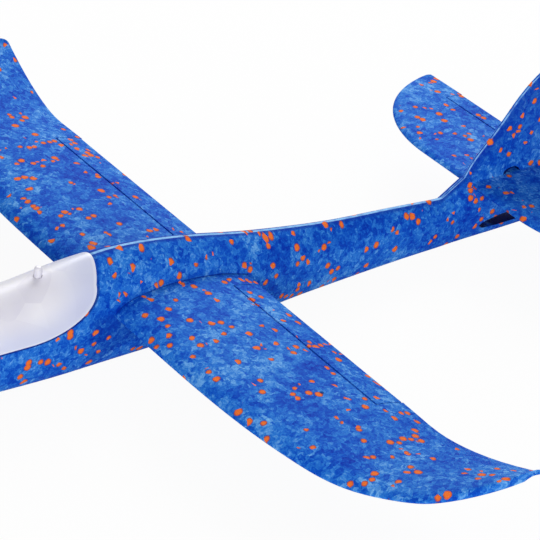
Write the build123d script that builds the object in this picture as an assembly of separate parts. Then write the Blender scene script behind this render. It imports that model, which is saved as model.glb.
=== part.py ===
"""Foam hand-throw glider with bendable ailerons and elevators and a plug-in light canopy.

Frame: +X runs aft, +Y to starboard, +Z up, millimetres.  The origin lies on the ground
under the middle of the object.  Distances called "station" are measured aft from the
nose tip, and heights are measured up from the ground that the belly rests on.
"""
import os
from math import copysign, cos, pi, sin, sqrt

from build123d import *

# ---------------------------------------------------------------- overall sizes
length = 479.0              # nose tip to tail end
span = 474.0                # wing tip to wing tip
fuselage_width = 36.4       # widest, at the canopy
boom_width = 14.6           # at the tail
crest_height = 66.2         # highest point of the fuselage, at the front of the wing
boom_crest = 37.9           # top of the boom just ahead of the fin
boom_belly = 4.6            # rise of the underside at the tail
nose_axis = 27.5            # height of the nose tip
belly_trim = 0.35           # depth of the flat cut along the belly

# ---------------------------------------------------------------- wing
wing_station = 124.0        # nose tip to leading edge
wing_chord = 89.0
wing_height = 35.5          # upper trailing edge above ground
wing_thickness = 8.6        # highest point of the section above the trailing edge
wing_straight = 22.0        # half width of the constant middle of the wing
wing_sweep = 42.0           # how far the leading edge bows back at the tip
tip_corner = 39.0           # length of the rounded tip corner along the chord
tip_corner_span = 18.0      # length of the same corner along the span
tip_rise = 17.6             # how far the tip curls up
tip_curl_span = 63.0        # outer part of the half span that curls
tip_set_back = 6.0          # how far the trailing edge drifts aft at the tip
tip_thickness_ratio = 0.5
vent_station = 172.5        # small pit that the mould left in the port wing
vent_out = 127.0            # from the centre plane
vent_floor = 41.4
vent_radius = 1.2

# ---------------------------------------------------------------- hinged flaps
aileron_chord = 18.5
aileron_inner = 27.0        # distances from the centre plane
aileron_outer = 144.5
elevator_chord = 13.5
elevator_inner = 10.5
elevator_outer = 85.5
hinge_skin = 0.6            # height of the hinge axis above the lower surface
hinge_gap = 0.3             # slit at the hinge axis
groove_width = 1.5          # width of the groove at the upper surface
flap_end_gap = 0.6
flap_recess = 0.8           # trailing edge of a flap ahead of the panel's own

# ---------------------------------------------------------------- tailplane and fin
tail_root_back = 89.2       # tail end to leading edge of the tailplane
tail_chord = 73.4
tail_half_span = 115.2
tail_height = 42.1          # mid plane above ground
tail_thickness = 6.4
tail_corner = 75.0          # elliptical corner along the chord
tail_corner_span = 73.0
fin_height = 127.5
fin_back = 2.5              # tail end to trailing edge of the fin
fin_root_back = 101.3       # tail end to the foot of the fin's leading edge
fin_ramp = 18.0             # length of the rise in the boom ahead of that foot
ramp_line = ((367.2, 35.6), (383.4, 46.6), (392.0, 51.0))     # (station, height) along its back
ramp_flat = 1.5             # half width of the flat along the ramp's back
ramp_shoulder = 3.0         # half width below the sloping sides
ramp_depth = 9.0
fin_foot_height = 40.0
fin_foot_thickness = 9.0
fin_tip_thickness = 3.6
fin_slope = 0.72            # leading edge run aft per unit of height
fin_corner = 46.0           # elliptical top corner along the chord
fin_corner_height = 34.0
slot_play = 1.8             # how much deeper than the tailplane the spare slot is in its middle
slot_arch = (413.6, 427.2)  # stations of the arched gap left above the tailplane
slot_arch_height = 3.2
lower_slot_drop = 27.6      # upper slot to lower slot
lower_slot_shift = 9.9      # lower slot further aft

# ---------------------------------------------------------------- light canopy
canopy_sill = 32.8          # height of its lower edge
canopy_front = 11.0         # stations along the canopy
canopy_rear = 113.0         # where the rear edge stands at the sides
canopy_rear_lean = 0.36     # run aft per unit of height above that
canopy_front_round = 14.0
canopy_rear_round = 40.0
canopy_rear_rise = 22.7
canopy_wall = 1.2
tray_wall = 1.6
tray_play = 0.1
button_station = 85.0
button_radius = 2.1
button_play = 0.3
button_height = 5.3         # above the canopy's crest
button_travel = 1.2
button_stem_radius = 1.5
button_flange_radius = 4.0
button_flange = 1.0
board_length = 46.0
board_width = 14.0
board_thickness = 1.0
board_station = 48.0
board_height = 42.5
post_radius = 2.5
post_stations = (65.0, 91.0)
screw_radius = 1.0
screw_head_radius = 1.9
screw_head = 1.3
screw_length = 6.0
switch_size = 7.0
switch_height = 5.0
led_radius = 1.5
led_height = 4.5
led_stations = (51.5, 57.5, 74.0)
spring_wire = 0.4
cell_radius = 5.8
cell_thickness = 5.4
cell_count = 3
cell_play = 0.2
box_station = 38.0          # front of the battery box
box_wall = 1.5
box_width = 15.0
box_height = 14.8
box_floor = 21.8            # underside of the battery box
contact_thickness = 0.4
contact_width = 8.0
contact_spring_length = 2.6
tab_width = 2.0
door_thickness = 1.5
door_screw_pad = 6.2
pocket_play = 0.5
weight_radius = 6.5
weight_height = 14.0
weight_station = 27.0


def at_station(distance):
    """X of a point that lies this far aft of the nose tip."""
    return distance - length / 2


# ---------------------------------------------------------------- fuselage outer form
def signed_power(value, power):
    return copysign(abs(value) ** power, value)


def hull_stations():
    """(station, underside, top, half width, ridge) along the fuselage.

    Ridge is 0 where the back is rounded and 1 where the sides run up to a narrow crest.
    """
    wide = fuselage_width / 2
    thin = boom_width / 2
    wing_end = wing_station + wing_chord
    fin_foot = length - fin_root_back
    boom_end = fin_foot - fin_ramp
    boom = boom_end - wing_end
    deep = -belly_trim
    block = tail_height + tail_thickness / 2 + 5.4
    return [
        (0.0, nose_axis - 1.5, nose_axis + 1.5, 1.5, 0.0),
        (1.5, nose_axis - 6.5, nose_axis + 5.5, wide * 0.30, 0.0),
        (5.0, nose_axis - 11.5, nose_axis + 10.0, wide * 0.52, 0.0),
        (12.0, nose_axis - 17.0, nose_axis + 16.0, wide * 0.72, 0.0),
        (24.0, nose_axis - 22.5, nose_axis + 22.0, wide * 0.88, 0.0),
        (43.0, nose_axis - 25.2, crest_height - 11.4, wide * 0.975, 0.0),
        (65.0, deep + 1.6, crest_height - 8.0, wide, 0.05),
        (95.0, deep + 0.3, crest_height - 3.5, wide, 0.3),
        (wing_station, deep, crest_height, wide * 0.97, 0.8),
        (wing_station + wing_chord * 0.33, deep, crest_height - 1.5, wide * 0.95, 1.0),
        (wing_station + wing_chord * 0.66, deep, crest_height - 6.1, wide * 0.935, 1.0),
        (wing_end, deep, crest_height - 12.4, wide * 0.90, 1.0),
        (wing_end + boom * 0.25, boom_belly * 0.27, boom_crest + 10.0, wide * 0.70, 1.0),
        (wing_end + boom * 0.50, boom_belly * 0.53, boom_crest + 5.5, wide * 0.57, 1.0),
        (wing_end + boom * 0.75, boom_belly * 0.78, boom_crest + 2.9, (wide + 2 * thin) / 3.6, 1.0),
        (boom_end, boom_belly * 0.88, boom_crest, thin * 1.08, 1.0),
        (boom_end + fin_ramp * 0.6, boom_belly * 0.90, boom_crest - 0.3, thin * 1.05, 1.0),
        (boom_end + fin_ramp, boom_belly * 0.92, boom_crest + 1.4, thin * 1.02, 1.0),
        (fin_foot + 7.0, boom_belly * 0.93, boom_crest + 5.6, thin * 1.02, 1.0),
        (fin_foot + 15.0, boom_belly * 0.95, block - 3.4, thin * 1.05, 1.0),
        (fin_foot + 26.0, boom_belly * 0.97, block, thin * 1.08, 1.0),
        (fin_foot + 52.0, boom_belly, block, thin * 1.05, 1.0),
        (length - 12.0, boom_belly, block - 2.5, thin * 0.95, 1.0),
        (length - 3.0, boom_belly + 0.8, block - 4.5, thin * 0.8, 1.0),
        (length, boom_belly + 4.0, block - 9.0, thin * 0.6, 1.0),
    ]


def crest_at(distance):
    """Height of the top of the fuselage, between its stations."""
    rows = hull_stations()
    for (a, _, top_a, _, _), (b, _, top_b, _, _) in zip(rows, rows[1:]):
        if a <= distance <= b:
            return top_a + (top_b - top_a) * (distance - a) / (b - a)


def hull_section(station, low, high, half_width, ridge, inset=0.0):
    """Closed outline across the fuselage: squarer below, rounder or peaked above."""
    low, high, half_width = low + inset, high - inset, half_width - inset
    middle = (low + high) / 2
    half_height = (high - low) / 2
    points = []
    steps = 20
    for i in range(steps):
        angle = 2 * pi * (i + 0.5) / steps - pi / 2
        bulge_out, bulge_up = (2.35 - ridge, 2.35) if sin(angle) > 0 else (3.1, 3.1)
        y = half_width * signed_power(cos(angle), 2 / bulge_out)
        z = middle + half_height * signed_power(sin(angle), 2 / bulge_up)
        points.append((at_station(station), y, z))
    return Wire([Spline(*points, periodic=True)])


def hull(inset=0.0, first=0, last=None):
    rows = hull_stations()[first:last]
    return Solid.make_loft([hull_section(*row, inset=inset) for row in rows])


# ---------------------------------------------------------------- thin lofted panels
WING_TOP = [(0.0, 0.0), (0.012, 0.21), (0.05, 0.50), (0.13, 0.80), (0.28, 0.98), (0.42, 1.0),
            (0.60, 0.88), (0.80, 0.59), (1.0, 0.0)]
WING_BOTTOM = [(1.0, -0.24), (0.80, 0.02), (0.60, 0.14), (0.40, 0.14), (0.20, 0.0),
               (0.08, -0.15), (0.02, -0.17)]
FLAT_TOP = [(0.0, 0.0), (0.015, 0.20), (0.06, 0.38), (0.22, 0.5), (0.50, 0.48), (0.80, 0.36),
            (1.0, 0.18)]
FLAT_BOTTOM = [(u, -z) for u, z in FLAT_TOP[:0:-1]]
SLOT_SWELL = [0.0, 0.0, 0.05, 0.6, 1.0, 0.3, 0.0]     # share of the slot's play at the same places


def panel_section(place, front, back, thickness, top, bottom):
    """Outline with a round nose and a blunt rear edge; place maps (x, z) into space."""
    chord = back - front
    ring = [place(front + u * chord, z * thickness) for u, z in top[::-1] + bottom[::-1]]
    nose_and_skins = Spline(*ring)
    rear_edge = Line(ring[-1], ring[0])
    return Wire([nose_and_skins, rear_edge])


def wing_edges(y):
    """Leading edge, trailing edge, lift and thickness of the wing at a span distance."""
    half = span / 2
    out = max(0.0, (y - wing_straight) / (half - wing_straight))
    front = at_station(wing_station) + wing_sweep * out ** 3.67
    corner = max(0.0, (y - (half - tip_corner_span)) / tip_corner_span)
    front += tip_corner * (1 - sqrt(max(0.0, 1 - min(corner, 1.0) ** 2)))
    back = at_station(wing_station + wing_chord)
    curl = max(0.0, (y - (half - tip_curl_span)) / tip_curl_span)
    back += tip_set_back * curl
    rise = tip_rise * curl ** 1.65
    thickness = wing_thickness * (1 - (1 - tip_thickness_ratio) * out ** 3)
    return front, back, rise, thickness


def wing_section(y):
    front, back, rise, thickness = wing_edges(y)
    return panel_section(lambda x, z: (x, y, wing_height + rise + z),
                         front, back, thickness, WING_TOP, WING_BOTTOM)


def evenly(start, end, steps):
    return [start + (end - start) * i / steps for i in range(steps + 1)]


def mirrored_panel(section, straight, rows):
    """Straight middle across the centre plane, with one lofted half on each side."""
    middle = Solid.extrude(Face(section(0.0)), Vector(0, 2 * straight, 0))
    outer = Solid.make_loft([section(y) for y in rows])
    return middle.moved(Location((0, -straight, 0))) + outer + mirror(outer, about=Plane.XZ)


def wing_rows():
    half = span / 2
    curl_start = half - tip_curl_span
    corner_start = half - tip_corner_span
    rows = evenly(wing_straight, curl_start, 7) + evenly(curl_start, corner_start, 4)[1:]
    rows += [half - tip_corner_span * share for share in (0.8, 0.6, 0.42, 0.27, 0.14, 0.05, 0.0)]
    return rows


def tail_edges(y):
    front = at_station(length - tail_root_back)
    back = front + tail_chord
    reach = max(0.0, (y - (tail_half_span - tail_corner_span)) / tail_corner_span)
    front += tail_corner * (1 - sqrt(max(0.0, 1 - min(reach, 1.0) ** 2)))
    thickness = tail_thickness * max(0.35, min(1.0, (back - front) / tail_chord)) ** 0.5
    return front, back, thickness


def tail_section(y):
    front, back, thickness = tail_edges(y)
    return panel_section(lambda x, z: (x, y, tail_height + z),
                         front, back, thickness, FLAT_TOP, FLAT_BOTTOM)


def slot_section(y):
    """The tailplane's root section with its upper side swelled into a lens."""
    front, back, thickness = tail_edges(y)
    top = [(u, z + slot_play / thickness * swell) for (u, z), swell in zip(FLAT_TOP, SLOT_SWELL)]
    return panel_section(lambda x, z: (x, y, tail_height + z),
                         front, back, thickness, top, FLAT_BOTTOM)


def tail_rows():
    start = tail_half_span - tail_corner_span
    shares = (0.0, 0.1, 0.2, 0.3, 0.4, 0.5, 0.6, 0.69, 0.77, 0.84, 0.90, 0.945, 0.975, 0.993)
    return [start + tail_corner_span * share for share in shares]


def fin():
    """Upright blade whose leading edge leans back and rounds over at the top."""
    back = at_station(length - fin_back)
    foot = at_station(length - fin_root_back)
    tall = fin_height - fin_foot_height
    corner_start = fin_height - fin_corner_height
    rows = [fin_foot_height, fin_foot_height + tall * 0.14, fin_foot_height + tall * 0.35, corner_start]
    rows += [corner_start + fin_corner_height * s for s in (0.3, 0.55, 0.75, 0.9, 0.97)]
    wires = []
    for z in rows:
        up = (z - fin_foot_height) / tall
        round_over = max(0.0, (z - corner_start) / fin_corner_height)
        front = foot + fin_slope * (z - fin_foot_height)
        front += fin_corner * (1 - sqrt(1 - round_over ** 2))
        thickness = fin_foot_thickness + (fin_tip_thickness - fin_foot_thickness) * up ** 0.45
        wires.append(panel_section(lambda x, h, z=z: (x, h, z), front, back, thickness,
                                   FLAT_TOP, FLAT_BOTTOM))
    return Solid.make_loft(wires)


def dorsal_ramp():
    """Wedge that leads from the boom's back up to the fin's leading edge."""
    wires = []
    for station, top in ramp_line:
        x = at_station(station)
        outline = [(ramp_flat, top), (ramp_shoulder, top - ramp_shoulder + ramp_flat),
                   (ramp_shoulder, top - ramp_depth)]
        ring = outline + [(-y, z) for y, z in reversed(outline)]
        wires.append(Wire.make_polygon([(x, y, z) for y, z in ring], close=True))
    return Solid.make_loft(wires, ruled=True)


# ---------------------------------------------------------------- cutting helpers
def box_between(low, high):
    size = [b - a for a, b in zip(low, high)]
    return Pos(*[(a + b) / 2 for a, b in zip(low, high)]) * Box(*size)


def prism_along_y(outline, y0, y1):
    """Solid between two span distances from an outline of (x, z) points."""
    wire = Wire.make_polygon([(x, y0, z) for x, z in outline], close=True)
    return Solid.extrude(Face(wire), Vector(0, y1 - y0, 0))


def flap_and_seat(hinge_x, hinge_z, inner, outer, back, side):
    """Two prisms: the flap's own space, and the wider space taken out of the panel."""
    low, high = hinge_z - 30, hinge_z + 30
    gap = hinge_gap / 2
    depth = wing_thickness * 0.6
    lean = (groove_width - hinge_gap) / depth
    flap = [(hinge_x + gap, low), (back - flap_recess, low),
            (back - flap_recess, high), (hinge_x + gap, high)]
    seat = [(hinge_x - gap, low), (back + 20, low), (back + 20, high),
            (hinge_x - gap - lean * 30, high), (hinge_x - gap, hinge_z)]
    ends = sorted((side * inner, side * outer))
    return (prism_along_y(flap, ends[0], ends[1]),
            prism_along_y(seat, ends[0] - flap_end_gap, ends[1] + flap_end_gap))


# ---------------------------------------------------------------- wing and tail panels
sides = {"port": -1, "starboard": 1}
parts = {}

wing = mirrored_panel(wing_section, wing_straight, wing_rows())
tailplane = mirrored_panel(tail_section, tail_half_span - tail_corner_span, tail_rows())


def root_bar(section):
    """The root section carried right through the fuselage."""
    bar = Solid.extrude(Face(section(0.0)), Vector(0, 2 * wing_straight, 0))
    return bar.moved(Location((0, -wing_straight, 0)))


root_wing = root_bar(wing_section)
root_tail = root_bar(tail_section)

wing_back = at_station(wing_station + wing_chord)
aileron_hinge = (wing_back - aileron_chord, wing_height + wing_thickness * 0.02 + hinge_skin)
tail_back = at_station(length - tail_root_back) + tail_chord
elevator_hinge = (tail_back - elevator_chord,
                  tail_height - tail_thickness * 0.36 + hinge_skin)

wing_panel, tailplane_panel = wing, tailplane
for name, side in sides.items():
    flap, seat = flap_and_seat(*aileron_hinge, aileron_inner, aileron_outer, wing_back, side)
    parts[f"aileron_{name}"] = wing & flap
    wing_panel = wing_panel - seat
    flap, seat = flap_and_seat(*elevator_hinge, elevator_inner, elevator_outer, tail_back, side)
    parts[f"elevator_{name}"] = tailplane & flap
    tailplane_panel = tailplane_panel - seat
vent_pit = Pos(at_station(vent_station), -vent_out, vent_floor) * Cylinder(
    vent_radius, wing_thickness, align=(Align.CENTER, Align.CENTER, Align.MIN))
parts["wing_panel"] = wing_panel - vent_pit
parts["tailplane_panel"] = tailplane_panel


# ---------------------------------------------------------------- canopy and its recess
def canopy_zone(inset=0.0):
    """Side outline of the canopy, carried right across the fuselage."""
    floor = canopy_sill + inset
    front = at_station(canopy_front) + inset
    rear = at_station(canopy_rear) - inset
    top = crest_height + 20
    rear_rise = canopy_rear_rise - inset * 0.2
    rear_top = rear + canopy_rear_lean * (top - floor - rear_rise)
    front_rise = canopy_front_round * 0.6
    edges = [
        Line((front, 0, top), (front, 0, floor + front_rise)),
        Spline((front, 0, floor + front_rise),
               (front + canopy_front_round * 0.29, 0, floor + front_rise * 0.29),
               (front + canopy_front_round, 0, floor), tangents=((0, 0, -1), (1, 0, 0))),
        Line((front + canopy_front_round, 0, floor), (rear - canopy_rear_round, 0, floor)),
        EllipticalCenterArc((0, 0), canopy_rear_round, rear_rise, start_angle=270, arc_size=90),
        Line((rear, 0, floor + rear_rise), (rear_top, 0, top)),
        Line((rear_top, 0, top), (front, 0, top)),
    ]
    arc_plane = Plane(origin=(rear - canopy_rear_round, 0, floor + rear_rise),
                      x_dir=(1, 0, 0), z_dir=(0, -1, 0))
    edges[3] = arc_plane * edges[3]
    face = Face(Wire(edges))
    wide = fuselage_width
    return Solid.extrude(face, Vector(0, 2 * wide, 0)).moved(Location((0, -wide, 0)))


outer_hull = hull()
ground_cut = box_between((-length, -span, -20), (length, span, 0))
canopy_hull = hull(first=1, last=12)
inner_hull = hull(inset=canopy_wall, first=1, last=12)
tray_hull = hull(inset=canopy_wall + tray_play, first=1, last=12)
zone = canopy_zone()

button_x = at_station(button_station)
button_crest = crest_at(button_station)
button_bore = Pos(button_x, 0, button_crest) * Cylinder(button_radius + button_play, 30)

parts["canopy_shell"] = (canopy_hull & zone) - inner_hull - button_bore

# tray: a pan that closes the canopy from below and carries the battery box
tray = (tray_hull & zone) - canopy_zone(inset=tray_wall)
cell_stack = cell_count * cell_thickness
bay_front = at_station(box_station) + box_wall
bay_length = contact_thickness + cell_stack + contact_spring_length + contact_thickness + cell_play
bay_back = bay_front + bay_length
box_back = bay_back + box_wall + door_screw_pad
box_top = box_floor + box_height
battery_box = box_between((bay_front - box_wall, -box_width / 2, box_floor),
                          (bay_back + box_wall, box_width / 2, box_top))
screw_pad = box_between((bay_back, -box_width / 2, box_floor),
                        (box_back, box_width / 2, canopy_sill + tray_wall / 2))
bay_half = cell_radius + cell_play
battery_bay = box_between((bay_front, -bay_half, box_floor - 1),
                          (bay_back, bay_half, box_floor + 2 * bay_half))
door_screw_x = bay_back + box_wall + door_screw_pad / 2
screw_pilot = Pos(door_screw_x, 0, box_floor) * Cylinder(screw_radius, 2 * screw_length)
tray = tray + battery_box + screw_pad - battery_bay - screw_pilot
for station in post_stations:
    post = Pos(at_station(station), 0, 0) * Cylinder(
        post_radius, board_height - canopy_sill - tray_wall / 2,
        align=(Align.CENTER, Align.CENTER, Align.MAX))
    post = (Pos(0, 0, board_height) * post) & zone
    pilot = Pos(at_station(station), 0, board_height) * Cylinder(
        screw_radius, screw_length - board_thickness,
        align=(Align.CENTER, Align.CENTER, Align.MAX))
    tray = tray + post - pilot
front_contact_x = bay_front
rear_contact_x = bay_back - contact_thickness
for x in (front_contact_x, rear_contact_x):
    tray = tray - box_between((x, -tab_width / 2, box_floor + bay_half),
                              (x + contact_thickness, tab_width / 2, box_top + 1))
parts["canopy_tray"] = tray

# ---------------------------------------------------------------- fuselage moulding
arch_front, arch_back = (at_station(station) for station in slot_arch)
arch_width = arch_back - arch_front
arch_foot = tail_height + tail_thickness * 0.48
arch_line = [(0.0, 0.0), (0.24, 0.5), (0.51, 0.84), (0.74, 1.0), (0.93, 0.62), (1.0, 0.0)]
slot_arch_cut = prism_along_y(
    [(arch_front, tail_height)]
    + [(arch_front + arch_width * u, arch_foot + slot_arch_height * v) for u, v in arch_line]
    + [(arch_back, tail_height)], -wing_straight, wing_straight)
spare_slot = root_bar(slot_section).moved(Location((lower_slot_shift, 0, -lower_slot_drop)))
pocket = box_between((at_station(box_station) - pocket_play, -box_width / 2 - pocket_play,
                      box_floor - door_thickness - screw_head - pocket_play),
                     (box_back + pocket_play, box_width / 2 + pocket_play, canopy_sill + 5))
weight_top = canopy_sill - pocket_play
weight_pit = Pos(at_station(weight_station), 0, weight_top - weight_height) * Cylinder(
    weight_radius, weight_height + pocket_play, align=(Align.CENTER, Align.CENTER, Align.MIN))
fuselage = outer_hull - ground_cut
fuselage = fuselage + dorsal_ramp() + fin()
fuselage = fuselage - root_wing - root_tail - slot_arch_cut - spare_slot
fuselage = fuselage - zone - pocket - weight_pit
parts["fuselage"] = fuselage
parts["nose_weight"] = Pos(at_station(weight_station), 0, weight_top - weight_height) * Cylinder(
    weight_radius, weight_height, align=(Align.CENTER, Align.CENTER, Align.MIN))


# ---------------------------------------------------------------- lamp and battery pieces
def screw(x, head_underside, length_down, up=1):
    """Pan head screw whose shank points down, or up when up is -1."""
    head = Cylinder(screw_head_radius, screw_head, align=(Align.CENTER, Align.CENTER, Align.MIN))
    shank = Cylinder(screw_radius, length_down, align=(Align.CENTER, Align.CENTER, Align.MAX))
    slot = Pos(0, 0, screw_head) * Box(2.6, 0.5, 1.0) + Pos(0, 0, screw_head) * Box(0.5, 2.6, 1.0)
    body = head + shank - slot
    if up < 0:
        body = Rot(180, 0, 0) * body
    return Pos(x, 0, head_underside) * body


def coil(radius, height, turns):
    """Compression spring standing on its foot at the origin."""
    path = Helix(pitch=(height - spring_wire) / turns, height=height - spring_wire, radius=radius)
    section = Plane(origin=path @ 0, z_dir=path % 0) * Circle(spring_wire / 2)
    return Pos(0, 0, spring_wire / 2) * sweep(section, path=path)


board_back = board_station + board_length
board = box_between((at_station(board_station), -board_width / 2, board_height),
                    (at_station(board_back), board_width / 2, board_height + board_thickness))
for station in post_stations:
    board = board - Pos(at_station(station), 0, board_height) * Cylinder(screw_radius + 0.1, 10)
parts["circuit_board"] = board
board_top = board_height + board_thickness
parts["board_screws"] = Compound([
    screw(at_station(station), board_top, screw_length) for station in post_stations])

leds = []
for index, station in enumerate(led_stations):
    y = (0.0, 4.2, -4.2)[index]
    barrel = Cylinder(led_radius, led_height - led_radius,
                      align=(Align.CENTER, Align.CENTER, Align.MIN))
    dome = Pos(0, 0, led_height - led_radius) * Sphere(led_radius)
    collar = Cylinder(led_radius + 0.4, 0.9, align=(Align.CENTER, Align.CENTER, Align.MIN))
    leds.append(Pos(at_station(station), y, board_top) * (barrel + dome + collar))
parts["led_lamps"] = Compound(leds)

switch_top = board_top + switch_height
switch_body = box_between((button_x - switch_size / 2, -switch_size / 2, board_top),
                          (button_x + switch_size / 2, switch_size / 2, switch_top))
stem_well = Pos(button_x, 0, switch_top) * Cylinder(
    button_stem_radius + button_play, 2 * (button_travel + 1.2))
parts["switch_body"] = switch_body - stem_well

button_top = button_crest + button_height
flange_top = button_crest - canopy_wall - 1.6
button = Pos(button_x, 0, flange_top) * Cylinder(
    button_radius, button_top - flange_top, align=(Align.CENTER, Align.CENTER, Align.MIN))
button = fillet(button.edges().sort_by(Axis.Z)[-1], 1.3)
button = button + Pos(button_x, 0, flange_top - button_flange) * Cylinder(
    button_flange_radius, button_flange, align=(Align.CENTER, Align.CENTER, Align.MIN))
stem_foot = switch_top - 0.8
button = button + Pos(button_x, 0, stem_foot) * Cylinder(
    button_stem_radius, flange_top - button_flange - stem_foot,
    align=(Align.CENTER, Align.CENTER, Align.MIN))
parts["push_button"] = button
spring_room = flange_top - button_flange - switch_top - button_travel - 0.5
parts["button_spring"] = Pos(button_x, 0, switch_top) * coil(
    button_stem_radius + button_play + 0.6, spring_room, 3)

cell_z = box_floor + bay_half
cells = []
for index in range(cell_count):
    x = front_contact_x + contact_thickness + index * cell_thickness
    can = Pos(x, 0, cell_z) * Rot(0, 90, 0) * Cylinder(
        cell_radius, cell_thickness * 0.8, align=(Align.CENTER, Align.CENTER, Align.MIN))
    cap = Pos(x + cell_thickness * 0.8, 0, cell_z) * Rot(0, 90, 0) * Cylinder(
        cell_radius * 0.8, cell_thickness * 0.2, align=(Align.CENTER, Align.CENTER, Align.MIN))
    cells.append(can + cap)
parts["button_cells"] = Compound(cells)


def contact(x):
    """Brass strip: a pad against the cells and a narrow tab up to the circuit board."""
    pad = box_between((x, -contact_width / 2, box_floor + 1.5),
                      (x + contact_thickness, contact_width / 2, box_floor + 2 * bay_half - 0.5))
    tab = box_between((x, -tab_width / 2, box_floor + bay_half),
                      (x + contact_thickness, tab_width / 2, board_height))
    return pad + tab


parts["front_contact"] = contact(front_contact_x)
parts["rear_contact"] = contact(rear_contact_x)
parts["battery_spring"] = Pos(front_contact_x + contact_thickness + cell_stack, 0, cell_z) * (
    Rot(0, 90, 0) * coil(3.2, contact_spring_length + cell_play, 3))

door = box_between((at_station(box_station), -box_width / 2, box_floor - door_thickness),
                   (box_back, box_width / 2, box_floor))
door = door - Pos(door_screw_x, 0, box_floor) * Cylinder(screw_radius + 0.15, 10)
parts["battery_door"] = door
parts["door_screw"] = screw(door_screw_x, box_floor - door_thickness, screw_length - 0.5, up=-1)

# ---------------------------------------------------------------- files
os.makedirs("parts", exist_ok=True)
for name, shape in parts.items():
    solids = shape.solids()
    export_step(Compound(solids) if len(solids) > 1 else solids[0], f"parts/{name}.step")
    print(name, len(solids), round(sum(s.volume for s in solids), 1))
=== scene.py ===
# %% [markdown]
# # A moulded foam hand glider
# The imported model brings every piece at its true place, in metres, with the nose towards -X, the tail
# towards +X and starboard towards +Y.  A moulding's shape is exact, so the foam pieces keep their own
# meshes, and the work here goes into the bead foam, the milky canopy and the light that shows them.

# %% Load the frame
from math import cos, radians, sin

import bpy
from mathutils import Matrix, Vector

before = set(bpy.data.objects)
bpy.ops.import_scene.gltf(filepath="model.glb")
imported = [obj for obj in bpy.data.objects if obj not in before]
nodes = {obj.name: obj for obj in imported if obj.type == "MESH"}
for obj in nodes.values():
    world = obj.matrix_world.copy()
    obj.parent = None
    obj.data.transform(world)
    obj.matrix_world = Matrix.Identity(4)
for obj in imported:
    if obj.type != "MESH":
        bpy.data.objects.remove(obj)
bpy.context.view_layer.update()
mm = 0.001


# %% [markdown]
# ## The camera
# A long lens well above the nose, to port, keeps the wings from spreading.  The camera is rolled a
# little, so the fuselage climbs across the picture.  A camera looks down its own -Z, so its Z axis is
# the direction back from the subject, and the roll turns it about that axis.

# %% Place the camera
camera_azimuth, camera_elevation, camera_roll = radians(-43.5), radians(31.66), radians(10.1)
camera_place = Vector((-0.7130, -0.7555, 0.6635))
camera_lens = 146.67

camera_data = bpy.data.cameras.new("long_lens")
camera_data.lens = camera_lens
camera_data.sensor_width = 36.0
camera_data.clip_start, camera_data.clip_end = 0.05, 20.0
camera = bpy.data.objects.new("camera", camera_data)
bpy.context.scene.collection.objects.link(camera)
bpy.context.scene.camera = camera
back = Vector((sin(camera_azimuth) * cos(camera_elevation),
               -cos(camera_azimuth) * cos(camera_elevation), sin(camera_elevation)))
upright = (-back).to_track_quat("-Z", "Y").to_matrix()
camera.matrix_world = Matrix.Translation(camera_place) @ (
    upright @ Matrix.Rotation(camera_roll, 3, "Z")).to_4x4()
print("camera axes:", [tuple(round(v, 4) for v in row) for row in camera.matrix_world.col])


# %% [markdown]
# ## Writing materials as sums
# A finish is mostly arithmetic on a few patterns.  `Value` wraps one socket, so that `1 - mask` or
# `a * b` adds the Math node by itself.

# %% One socket
class Value:
    """One shader socket that Python's operators work on."""

    def __init__(self, paint, socket):
        self.paint, self.socket = paint, socket

    def _math(self, operation, first, second):
        return self.paint.node("ShaderNodeMath", {"operation": operation}, {0: first, 1: second})

    def __add__(self, other):
        return self._math("ADD", self, other)

    def __radd__(self, other):
        return self._math("ADD", other, self)

    def __sub__(self, other):
        return self._math("SUBTRACT", self, other)

    def __rsub__(self, other):
        return self._math("SUBTRACT", other, self)

    def __mul__(self, other):
        return self._math("MULTIPLY", self, other)

    def __rmul__(self, other):
        return self._math("MULTIPLY", other, self)

    def __truediv__(self, other):
        return self._math("DIVIDE", self, other)

    def __pow__(self, other):
        return self._math("POWER", self, other)

    def __abs__(self):
        return self._math("ABSOLUTE", self, 0.0)

    def at_least(self, floor):
        return self._math("MAXIMUM", self, floor)

    def __lt__(self, other):
        return self._math("LESS_THAN", self, other)


# %% [markdown]
# `Paint` holds one material's tree and adds any other node.  Sockets go by name where the name is the
# only one of its kind on the node.  Math nodes and mix nodes repeat their names, so there the
# socket's place in the list is given.

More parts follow.
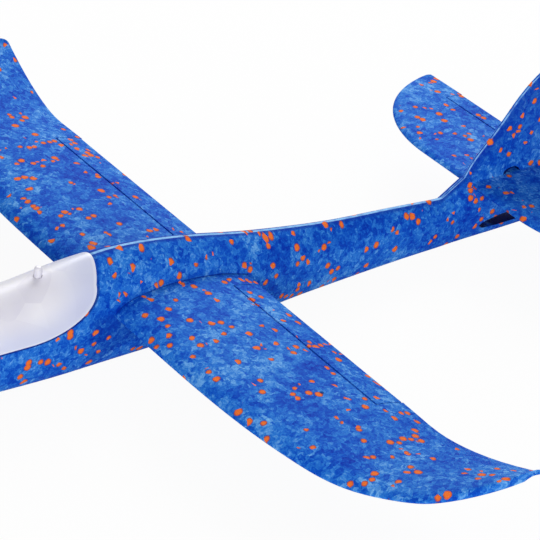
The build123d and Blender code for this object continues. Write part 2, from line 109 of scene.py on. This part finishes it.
# %% One material
class Paint:
    """One material and its node tree."""

    def __init__(self, name):
        self.material = bpy.data.materials.new(name)
        self.material.use_nodes = True
        self.tree = self.material.node_tree
        self.tree.nodes.clear()

    def node(self, kind, settings=None, inputs=None, output=0):
        """Adds a node: its settings first, then the values or links of its sockets.  `output` is the
        name or the place of the socket to go on from."""
        node = self.tree.nodes.new(kind)
        for key, setting in (settings or {}).items():
            if key == "stops":
                self._set_stops(node.color_ramp, setting)
            else:
                setattr(node, key, setting)
        for key, given in (inputs or {}).items():
            if isinstance(given, Value):
                self.tree.links.new(given.socket, node.inputs[key])
            else:
                node.inputs[key].default_value = given
        return Value(self, node.outputs[output]) if node.outputs else None

    def _set_stops(self, ramp, stops):
        while len(ramp.elements) < len(stops):
            ramp.elements.new(1.0)
        for element, (place, colour) in zip(ramp.elements, stops):
            element.position = place
            element.color = (*colour, 1.0)

    def ramp(self, factor, stops):
        return self.node("ShaderNodeValToRGB", {"stops": stops}, {"Fac": factor})

    def smooth(self, value, low, high):
        """0 below low, 1 above high, eased between."""
        return self.node("ShaderNodeMapRange", {"interpolation_type": "SMOOTHSTEP"},
                         {"Value": value, "From Min": low, "From Max": high})

    def mix(self, factor, first, second):
        """Mixes two colours; the second may be plain numbers."""
        if not isinstance(second, Value):
            second = (*second, 1.0)
        factor_in, first_in, second_in, colour_out = 0, 6, 7, 2
        return self.node("ShaderNodeMix", {"data_type": "RGBA"},
                         {factor_in: factor, first_in: first, second_in: second}, colour_out)

    def place(self):
        """Object coordinates in millimetres."""
        here = self.node("ShaderNodeTexCoord", output="Object")
        return self.stretch(here, (1 / mm, 1 / mm, 1 / mm))

    def stretch(self, vector, factors):
        return self.node("ShaderNodeVectorMath", {"operation": "MULTIPLY"},
                         {0: vector, 1: factors})

    def shift(self, vector, offset):
        return self.node("ShaderNodeVectorMath", {"operation": "ADD"}, {0: vector, 1: offset})

    def axis(self, vector, letter):
        """The X, Y or Z of a vector, or the red, green or blue of a colour."""
        return self.node("ShaderNodeSeparateXYZ", None, {"Vector": vector}, letter)

    def noise(self, vector, size, detail=2.0, roughness=0.5, output=0):
        """Noise whose features are about `size` millimetres."""
        return self.node("ShaderNodeTexNoise", None,
                         {"Vector": vector, "Scale": 1.0 / size, "Detail": detail,
                          "Roughness": roughness}, output)

    def cells(self, vector, size, output):
        """Random cells about `size` millimetres apart: the Distance from a cell's middle, the
        Position of that middle, or a random Color for each cell."""
        return self.node("ShaderNodeTexVoronoi", None,
                         {"Vector": vector, "Scale": 1.0 / size}, output)

    def bump(self, height, depth, strength):
        return self.node("ShaderNodeBump", None,
                         {"Height": height, "Distance": depth, "Strength": strength})

    def finish(self, **sockets):
        """Ends the tree in one Principled shader; names use _ for spaces."""
        inputs = {name.replace("_", " "): value for name, value in sockets.items()}
        shader = self.node("ShaderNodeBsdfPrincipled", None, inputs)
        self.node("ShaderNodeOutputMaterial", None, {"Surface": shader})
        return self.material


# %% Colours and coats
def linear(red, green, blue):
    """A colour given as 0-255 screen values, in the linear numbers that shaders use."""
    def one(value):
        value /= 255.0
        return value / 12.92 if value <= 0.04045 else ((value + 0.055) / 1.055) ** 2.4
    return one(red), one(green), one(blue)


def coat(node_names, material):
    """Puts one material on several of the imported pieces."""
    for name in node_names:
        data = nodes[name].data
        data.materials.clear()
        data.materials.append(material)
    print(material.name, "->", ", ".join(node_names))


print("middle grey on screen is", round(linear(128, 128, 128)[0], 3), "in a shader")


# %% [markdown]
# ## The bead foam
# The foam is steam-moulded from blue beads about 4 mm across, with a few orange ones thrown in.  A
# solid pattern, read from the place in space, runs through every foam piece alike and has no seams.
# Voronoi cells give the beads, because a cell is what a squeezed bead is.  An orange bead that
# reaches the skin is pressed flat against the mould, so its spot is drawn as a disc round the middle
# of its cell: the distance leaves out most of the direction that points out of the skin, which is up
# on the wings and sideways on the fuselage.

# %% Orange beads
bead = 4.1
spot_radius = 1.95
spot_share = 0.052
crowded_share = 0.30
crowd_size = 11.0
crowd_shift = (31.0, 17.0, 23.0)
print("orange beads:", spot_share, "of all, and up to", spot_share + crowded_share, "in a crowd")


def orange_beads(foam, place, along_skin):
    """How far inside an orange bead each point is: 0 at the rim and outside it, 1 in the middle."""
    middle = foam.cells(place, bead, "Position")
    lots = foam.cells(place, bead, "Color")
    away = foam.node("ShaderNodeVectorMath", {"operation": "SUBTRACT"}, {0: place, 1: middle})
    distance = foam.node("ShaderNodeVectorMath", {"operation": "LENGTH"},
                         {0: foam.stretch(away, along_skin)}, "Value")
    crowd = foam.noise(foam.shift(middle, crowd_shift), crowd_size, 0.0)
    crowded = foam.smooth(crowd, 0.60, 0.68)
    chosen = foam.axis(lots, "X") < spot_share + crowded_share * crowded
    rim = foam.noise(place, 1.5, 1.0) * 0.9 - 0.45
    radius = spot_radius * (0.78 + 0.4 * foam.axis(lots, "Y"))
    return foam.smooth(radius - distance + rim, -0.55, 0.95) * chosen


# %% [markdown]
# The blue beads take the dye unevenly, and steam smears them, so the skin looks washed in patches of
# lighter and darker blue.  Two sizes of cells, bent by noise, give the patches their edges, and
# a slow noise lets whole areas drift.

# %% Blue skin
smear = 5.0
small_patch, large_patch = 2.6, 5.5
patch_shift = (7.0, 3.0, 5.0)


def blue_shade(foam, place):
    """0 for the darkest blue to 1 for the palest, the skin's fine crumple, and the bent place."""
    swirl = foam.shift(foam.noise(place, 4.0, 2.0, output="Color"), (-0.5, -0.5, -0.5))
    bent = foam.node("ShaderNodeVectorMath", {"operation": "MULTIPLY_ADD"},
                     {0: swirl, 1: (smear, smear, smear), 2: place})
    small = foam.axis(foam.cells(bent, small_patch, "Color"), "X")
    large = foam.axis(foam.cells(foam.shift(bent, patch_shift), large_patch, "Color"), "Y")
    drift = foam.noise(place, 28.0, 2.0)
    crumple = foam.noise(bent, 1.3, 2.0, 0.6)
    shade = 0.30 * small + 0.20 * large + 0.60 * drift + 0.70 * crumple - 0.40
    return shade, crumple, bent


# %% Foam material
blues = [(0.15, linear(0, 50, 174)), (0.42, linear(8, 84, 198)),
         (0.65, linear(44, 124, 216)), (0.95, linear(122, 184, 242))]
# The first stop is a dark blue ring round each orange spot: painted shade at its rim.
oranges_and_rim_shade = [(0.0, linear(10, 56, 160)), (0.3, linear(96, 60, 110)),
           (0.55, linear(196, 86, 60)), (1.0, linear(242, 118, 50))]
print("blues:", len(blues), "oranges:", len(oranges_and_rim_shade))


def bead_foam(name, along_skin, painted_light_lift, creases, marks=None):
    """The third argument lifts the blue's tone: painted light, a lighter copy of the same foam for the
    lit panels.  `creases` is the depth of the skin's bump.  `marks` paints on the blue, highlight and
    shade among it, and says which places are in painted shade, too deep for a pressed orange bead."""
    foam = Paint(name)
    place = foam.place()
    spot = orange_beads(foam, place, along_skin)
    shade, crumple, bent = blue_shade(foam, place)
    blue = foam.ramp(shade + painted_light_lift, blues)
    if marks is not None:
        blue, slot_shade = marks(foam, place, blue)
        spot = spot * (1 - slot_shade)
    colour = foam.mix(foam.smooth(spot, 0.0, 0.4), blue, foam.ramp(spot, oranges_and_rim_shade))
    height = foam.cells(bent, bead, "Distance") * -0.5 + crumple * 0.8 + spot * 0.25
    normal = foam.bump(height, creases * mm, 0.6)
    return foam.finish(Base_Color=colour, Roughness=0.72 - 0.12 * crumple, Normal=normal,
                       Specular_IOR_Level=0.06)


# %% [markdown]
# ## Marks on the fuselage
# The two halves of the mould meet along the fuselage's middle plane and leave a line there.  It is
# drawn pale, partly the seam's own colour and partly a painted highlight where the crest catches the
# light, with painted shade on the skin next to it.  Painted shade also gives a dark line over the wing
# where it sits in its slot and under the canopy's edge, and a painted shadow on the skin below the
# wing.  The marks could be painted on an unwrapped skin, but a rule by place needs no unwrapping and
# stays sharp at any size.  Each mark follows a curve: a colour ramp serves as a table that gives a
# section's height along its chord, and the canopy's rear corner is a quarter of an ellipse.

# %% Curves that the marks follow
canopy_corner, canopy_corner_size, canopy_lean = (-166.5, 55.5), (40.0, 22.7), 0.36
print("the canopy's rear corner is", canopy_corner_size, "mm, round", canopy_corner)


def band(paint, value, low, high, soft):
    """1 between low and high, fading to 0 over `soft` on each side."""
    return paint.smooth(value, low - soft, low) * (1 - paint.smooth(value, high, high + soft))


def height_along(paint, share, line):
    """Reads a table of (share of chord, height) pairs."""
    table = paint.ramp(share, [(along, (rise, rise, rise)) for along, rise in line])
    return paint.axis(table, "X")


def canopy_reach(paint, x, z):
    """1 on the canopy's lower and rear edge, less inside it and more outside."""
    above = (z - canopy_corner[1]).at_least(0.0)
    aft = (x - canopy_corner[0] - above * canopy_lean).at_least(0.0) / canopy_corner_size[0]
    down = (canopy_corner[1] - z).at_least(0.0) / canopy_corner_size[1]
    return (aft * aft + down * down) ** 0.5


# %% Mould seam and painted highlight
seam_front, ramp_start = -128.0, 127.7
seam_and_highlight_blue, seam_side_shade = linear(146, 200, 250), linear(2, 42, 158)
print("the wide seam runs from", seam_front, "to", ramp_start)


def seam_and_painted_highlight(foam, place, colour):
    """One wide pale line on the boom's back, and a finer twin line on the nose and the fin: each partly
    the seam and partly a painted highlight, with painted shade next to them.
    """
    x, off_middle = foam.axis(place, "X"), abs(foam.axis(place, "Y"))
    patchy = foam.smooth(foam.noise(place, 5.0, 2.0), 0.3, 0.6)
    on_boom = band(foam, x, seam_front, ramp_start, 6.0)
    # Painted shade on the skin next to the middle line.
    beside_shade = band(foam, off_middle, 1.3, 1.7, 1.6) * 0.65
    colour = foam.mix(beside_shade, colour, seam_side_shade)
    # The pale lines are partly the seam's own colour and partly a painted highlight on the crest.
    wide_seam_and_highlight = (1 - foam.smooth(off_middle, 0.6, 1.1)) * on_boom * (0.6 + 0.4 * patchy)
    twin_seam_and_highlight = band(foam, off_middle, 0.5, 0.8, 0.25) * (0.2 + 0.6 * patchy)
    seam = wide_seam_and_highlight.at_least(twin_seam_and_highlight * (1 - on_boom))
    return foam.mix(seam, colour, seam_and_highlight_blue)


# %% Painted shade lines
wing_front, wing_back, wing_foot, wing_deep = -115.5, -26.5, 35.5, 8.6
wing_top = [(0.0, 0.0), (0.02, 0.29), (0.06, 0.54), (0.13, 0.80), (0.28, 0.98), (0.42, 1.0),
            (0.60, 0.88), (0.80, 0.59), (1.0, 0.0)]
nose_front, canopy_run = -222.0, -210.0
line_thins, line_thinned = 48.0, 62.0
shade_line_blue = linear(2, 32, 128)
print("the dark line over the wing runs from", wing_front, "to", wing_back)


def painted_shade_lines(foam, x, z, colour):
    """Painted shade: dark lines in the joint over the wing and under the canopy's edge, and a painted
    shadow on the skin below the wing.
    """
    wing_share = (x - wing_front) / (wing_back - wing_front)
    over_wing = z - wing_foot - height_along(foam, wing_share, wing_top) * wing_deep
    wing_joint_shade = band(foam, over_wing, -0.4, 0.5, 0.7) * band(foam, wing_share, 0.0, 1.0, 0.01)
    reach = canopy_reach(foam, x, z)
    canopy_edge_shade = band(foam, reach, 0.98, 1.03, 0.03) * foam.smooth(x, nose_front, canopy_run)
    canopy_edge_shade = canopy_edge_shade * (1 - foam.smooth(z, line_thins, line_thinned) * 0.6)
    under_wing_shadow = band(foam, over_wing, -22.0, -2.0, 8.0) * band(foam, wing_share, -0.1, 0.8, 0.1)
    line = (wing_joint_shade * 0.75).at_least(canopy_edge_shade * 0.85).at_least(under_wing_shadow * 0.3)
    return foam.mix(line, colour, shade_line_blue)


# %% [markdown]
# Little light gets into the spare slot under the tailplane or into the gap above the tailplane's
# root, so their walls are painted nearly black blue as shade, and no pressed orange bead shows
# there.

# %% Slots
slot_front, slot_back, slot_middle, slot_deep = 160.2, 233.6, 14.5, 6.4
slot_top = [(0.0, 0.0), (0.015, 0.20), (0.06, 0.40), (0.22, 0.67), (0.50, 0.76), (0.80, 0.44),
            (1.0, 0.18)]
slot_bottom = [(0.0, 0.0), (0.015, 0.20), (0.06, 0.38), (0.22, 0.5), (0.50, 0.48), (0.80, 0.36),
               (1.0, 0.18)]
gap_middle, gap_foot, gap_half, gap_rise = 180.9, 45.0, 6.8, 3.4
slot_shade_blue = linear(0, 14, 84)
print("the spare slot runs from", slot_front, "to", slot_back, "and the gap is at", gap_middle)


def inside_slots(foam, x, z):
    """1 inside the spare slot and inside the gap above the tailplane's root."""
    slot_share = (x - slot_front) / (slot_back - slot_front)
    up = (z - slot_middle) / slot_deep
    below_top = 1 - foam.smooth(up - height_along(foam, slot_share, slot_top), 0.01, 0.05)
    above_bottom = foam.smooth(up + height_along(foam, slot_share, slot_bottom), -0.05, -0.01)
    inside_slot = below_top * above_bottom * band(foam, slot_share, -0.003, 1.0, 0.003)
    gap_x, gap_z = (x - gap_middle) / gap_half, (z - gap_foot) / gap_rise
    inside_gap = 1 - foam.smooth(gap_x * gap_x + gap_z * gap_z, 1.0, 1.2)
    return inside_slot.at_least(inside_gap * foam.smooth(z, gap_foot - 0.5, gap_foot))


def fuselage_marks(foam, place, colour):
    """The marked colour, and 1 where the foam is inside a slot and painted dark as shade."""
    x, z = foam.axis(place, "X"), foam.axis(place, "Z")
    colour = painted_shade_lines(foam, x, z, seam_and_painted_highlight(foam, place, colour))
    slot_shade = inside_slots(foam, x, z)
    # Painted shade: the inside of the slot and of the gap is painted nearly black blue.
    return foam.mix(slot_shade * 0.96, colour, slot_shade_blue), slot_shade


# %% Foam pieces
# The panels get the same foam with its tone lifted by 0.05: painted light, a lighter copy for the lit
# wing and tail.
coat(["wing_panel", "tailplane_panel", "aileron_port", "aileron_starboard", "elevator_port",
      "elevator_starboard"], bead_foam("panel_foam", (1.0, 1.0, 0.3), 0.05, 0.55))
coat(["fuselage"], bead_foam("fuselage_foam", (1.0, 0.3, 1.0), 0.0, 0.4, fuselage_marks))


# %% [markdown]
# ## The canopy
# The canopy is a thin milky moulding over the lamps.  Towards its rear and lower edge it is painted a
# darker blue-grey as shade, and just inside that edge runs a painted pale highlight.  What lies under
# it shows only as faint, flat patches of slightly different white.

# %% Canopy material
under_size, under_shift = 20.0, (3.0, 1.0, 2.0)


def milky_plastic(name, painted_edge):
    milk = Paint(name)
    place = milk.place()
    facets = milk.axis(milk.cells(milk.shift(place, under_shift), under_size, "Color"), "X")
    cloud = milk.noise(place, 26.0, 1.0)
    shade = 0.16 * facets + 0.5 * cloud
    colour = milk.ramp(shade, [(0.2, linear(222, 220, 232)), (0.45, linear(238, 237, 244))])
    if painted_edge:
        reach = canopy_reach(milk, milk.axis(place, "X"), milk.axis(place, "Z"))
        # Painted shade: a darker blue-grey towards the rear and lower edge.
        painted_shade_tint = milk.smooth(reach, 0.25, 0.9) * 0.55
        colour = milk.mix(painted_shade_tint, colour, linear(192, 201, 234))
        # Painted highlight: a pale line just inside the edge.
        rim = milk.smooth(reach, 0.945, 0.975) * 0.4
        colour = milk.mix(rim, colour, linear(240, 242, 250))
    normal = milk.bump(milk.noise(place, 0.6, 2.0), 0.02 * mm, 0.4)
    return milk.finish(Base_Color=colour, Roughness=0.34, Normal=normal,
                       Subsurface_Weight=0.25, Subsurface_Radius=(0.004, 0.004, 0.005))


coat(["canopy_shell"], milky_plastic("milky_plastic", True))
coat(["push_button"], milky_plastic("button_plastic", False))


# %% [markdown]
# ## What the canopy hides
# The tray, board, cells and springs are out of sight, but they are real pieces, and each gets the
# finish of what it is made of.

# %% Inner materials
def moulded(name, colour, roughness=0.5, grain=0.5):
    """Plain moulded plastic with a fine grain and a slight unevenness of tone."""
    plastic = Paint(name)
    place = plastic.place()
    cloud = plastic.noise(place, 9.0, 2.0)
    lighter = tuple(min(1.0, c * 1.12 + 0.01) for c in colour)
    tone = plastic.ramp(cloud, [(0.3, colour), (0.7, lighter)])
    normal = plastic.bump(plastic.noise(place, 0.35, 2.0), 0.03 * mm, grain)
    return plastic.finish(Base_Color=tone, Roughness=roughness, Normal=normal)


def metal(name, colour, roughness):
    """Metal with fine drawn lines that run fore and aft."""
    plate = Paint(name)
    lines = plate.noise(plate.stretch(plate.place(), (1.0, 12.0, 12.0)), 2.0, 3.0)
    darker = tuple(c * 0.8 for c in colour)
    tone = plate.ramp(lines, [(0.3, darker), (0.7, colour)])
    rough = roughness - 0.08 + 0.16 * lines
    normal = plate.bump(lines, 0.01 * mm, 0.5)
    return plate.finish(Base_Color=tone, Metallic=1.0, Roughness=rough, Normal=normal)


coat(["canopy_tray", "battery_door"], moulded("white_moulding", linear(222, 222, 226)))
coat(["switch_body"], moulded("black_moulding", linear(34, 34, 38)))
coat(["circuit_board"], moulded("board_laminate", linear(24, 104, 62), 0.35, 0.3))
coat(["led_lamps"], moulded("lamp_lens", linear(232, 240, 246), 0.12, 0.1))
coat(["nose_weight", "button_cells"], metal("plated_steel", linear(190, 190, 194), 0.34))
coat(["board_screws", "door_screw", "button_spring", "battery_spring"],
     metal("bright_steel", linear(200, 200, 204), 0.24))
coat(["front_contact", "rear_contact"], metal("pressed_brass", linear(206, 172, 96), 0.3))


# %% [markdown]
# ## Floor and light
# The floor is white and catches a soft shadow.  Seen by the camera and in reflections it is mixed with
# plain white light, so that the ground stays clean without more light on the glider.  A brighter
# floor would do it too, but it would also light the glider's underside.  A broad lamp behind and
# above gives the wing tops their lighter rear half, and a low one in front, on the port side, lights
# the canopy and the fuselage.

# %% Floor
floor_size, floor_drop = 12.0, 0.5 * mm
floor_grey, white_share = 0.86, 0.95


def white_floor():
    floor = Paint("white_floor")
    seen = floor.node("ShaderNodeLightPath", output="Is Camera Ray")
    mirrored = floor.node("ShaderNodeLightPath", output="Is Glossy Ray")
    through = floor.node("ShaderNodeLightPath", output="Is Transmission Ray")
    diffuse = floor.node("ShaderNodeBsdfDiffuse", None,
                         {"Color": (floor_grey, floor_grey, floor_grey, 1.0)})
    white = floor.node("ShaderNodeEmission", None, {"Color": (1, 1, 1, 1), "Strength": 1.0})
    share = white_share * (1 - (1 - seen) * (1 - mirrored) * (1 - through))
    both = floor.node("ShaderNodeMixShader", None, {0: share, 1: diffuse, 2: white})
    floor.node("ShaderNodeOutputMaterial", None, {"Surface": both})
    return floor.material


bpy.ops.mesh.primitive_plane_add(size=floor_size, location=(0, 0, -floor_drop))
floor = bpy.context.object
floor.name = "floor"
floor.data.materials.append(white_floor())
print("the floor is", floor_size, "m across")


# %% Lamps
def area_lamp(name, place, size, power):
    """A square lamp that faces the glider's middle."""
    data = bpy.data.lights.new(name, "AREA")
    data.size, data.energy = size, power
    lamp = bpy.data.objects.new(name, data)
    bpy.context.scene.collection.objects.link(lamp)
    lamp.location = place
    lamp.rotation_mode = "QUATERNION"
    lamp.rotation_quaternion = (-Vector(place)).to_track_quat("-Z", "Y")
    print(name, "stands", round(Vector(place).length, 2), "m away")


area_lamp("softbox", (1.15, 1.30, 1.35), 1.3, 36.0)
area_lamp("fill", (-1.3, -1.9, 0.55), 1.6, 38.0)


# %% [markdown]
# The sky lights the glider evenly from all round at less than full white.  The camera sees plain
# white behind the floor's edge, because the sky's strength rises to 1 for camera rays alone.

# %% Sky
sky_light = 0.40
world = bpy.data.worlds.new("white_room")
bpy.context.scene.world = world
world.use_nodes = True
sky = world.node_tree.nodes["Background"]
sky.inputs["Color"].default_value = (1.0, 1.0, 1.0, 1.0)
seen = world.node_tree.nodes.new("ShaderNodeLightPath").outputs["Is Camera Ray"]
strength = world.node_tree.nodes.new("ShaderNodeMath")
strength.operation = "MULTIPLY_ADD"
strength.inputs[1].default_value, strength.inputs[2].default_value = 1.0 - sky_light, sky_light
world.node_tree.links.new(seen, strength.inputs[0])
world.node_tree.links.new(strength.outputs[0], sky.inputs["Strength"])
bpy.context.scene.view_settings.view_transform = "Standard"
print("the sky's strength is", sky_light, "on the glider")
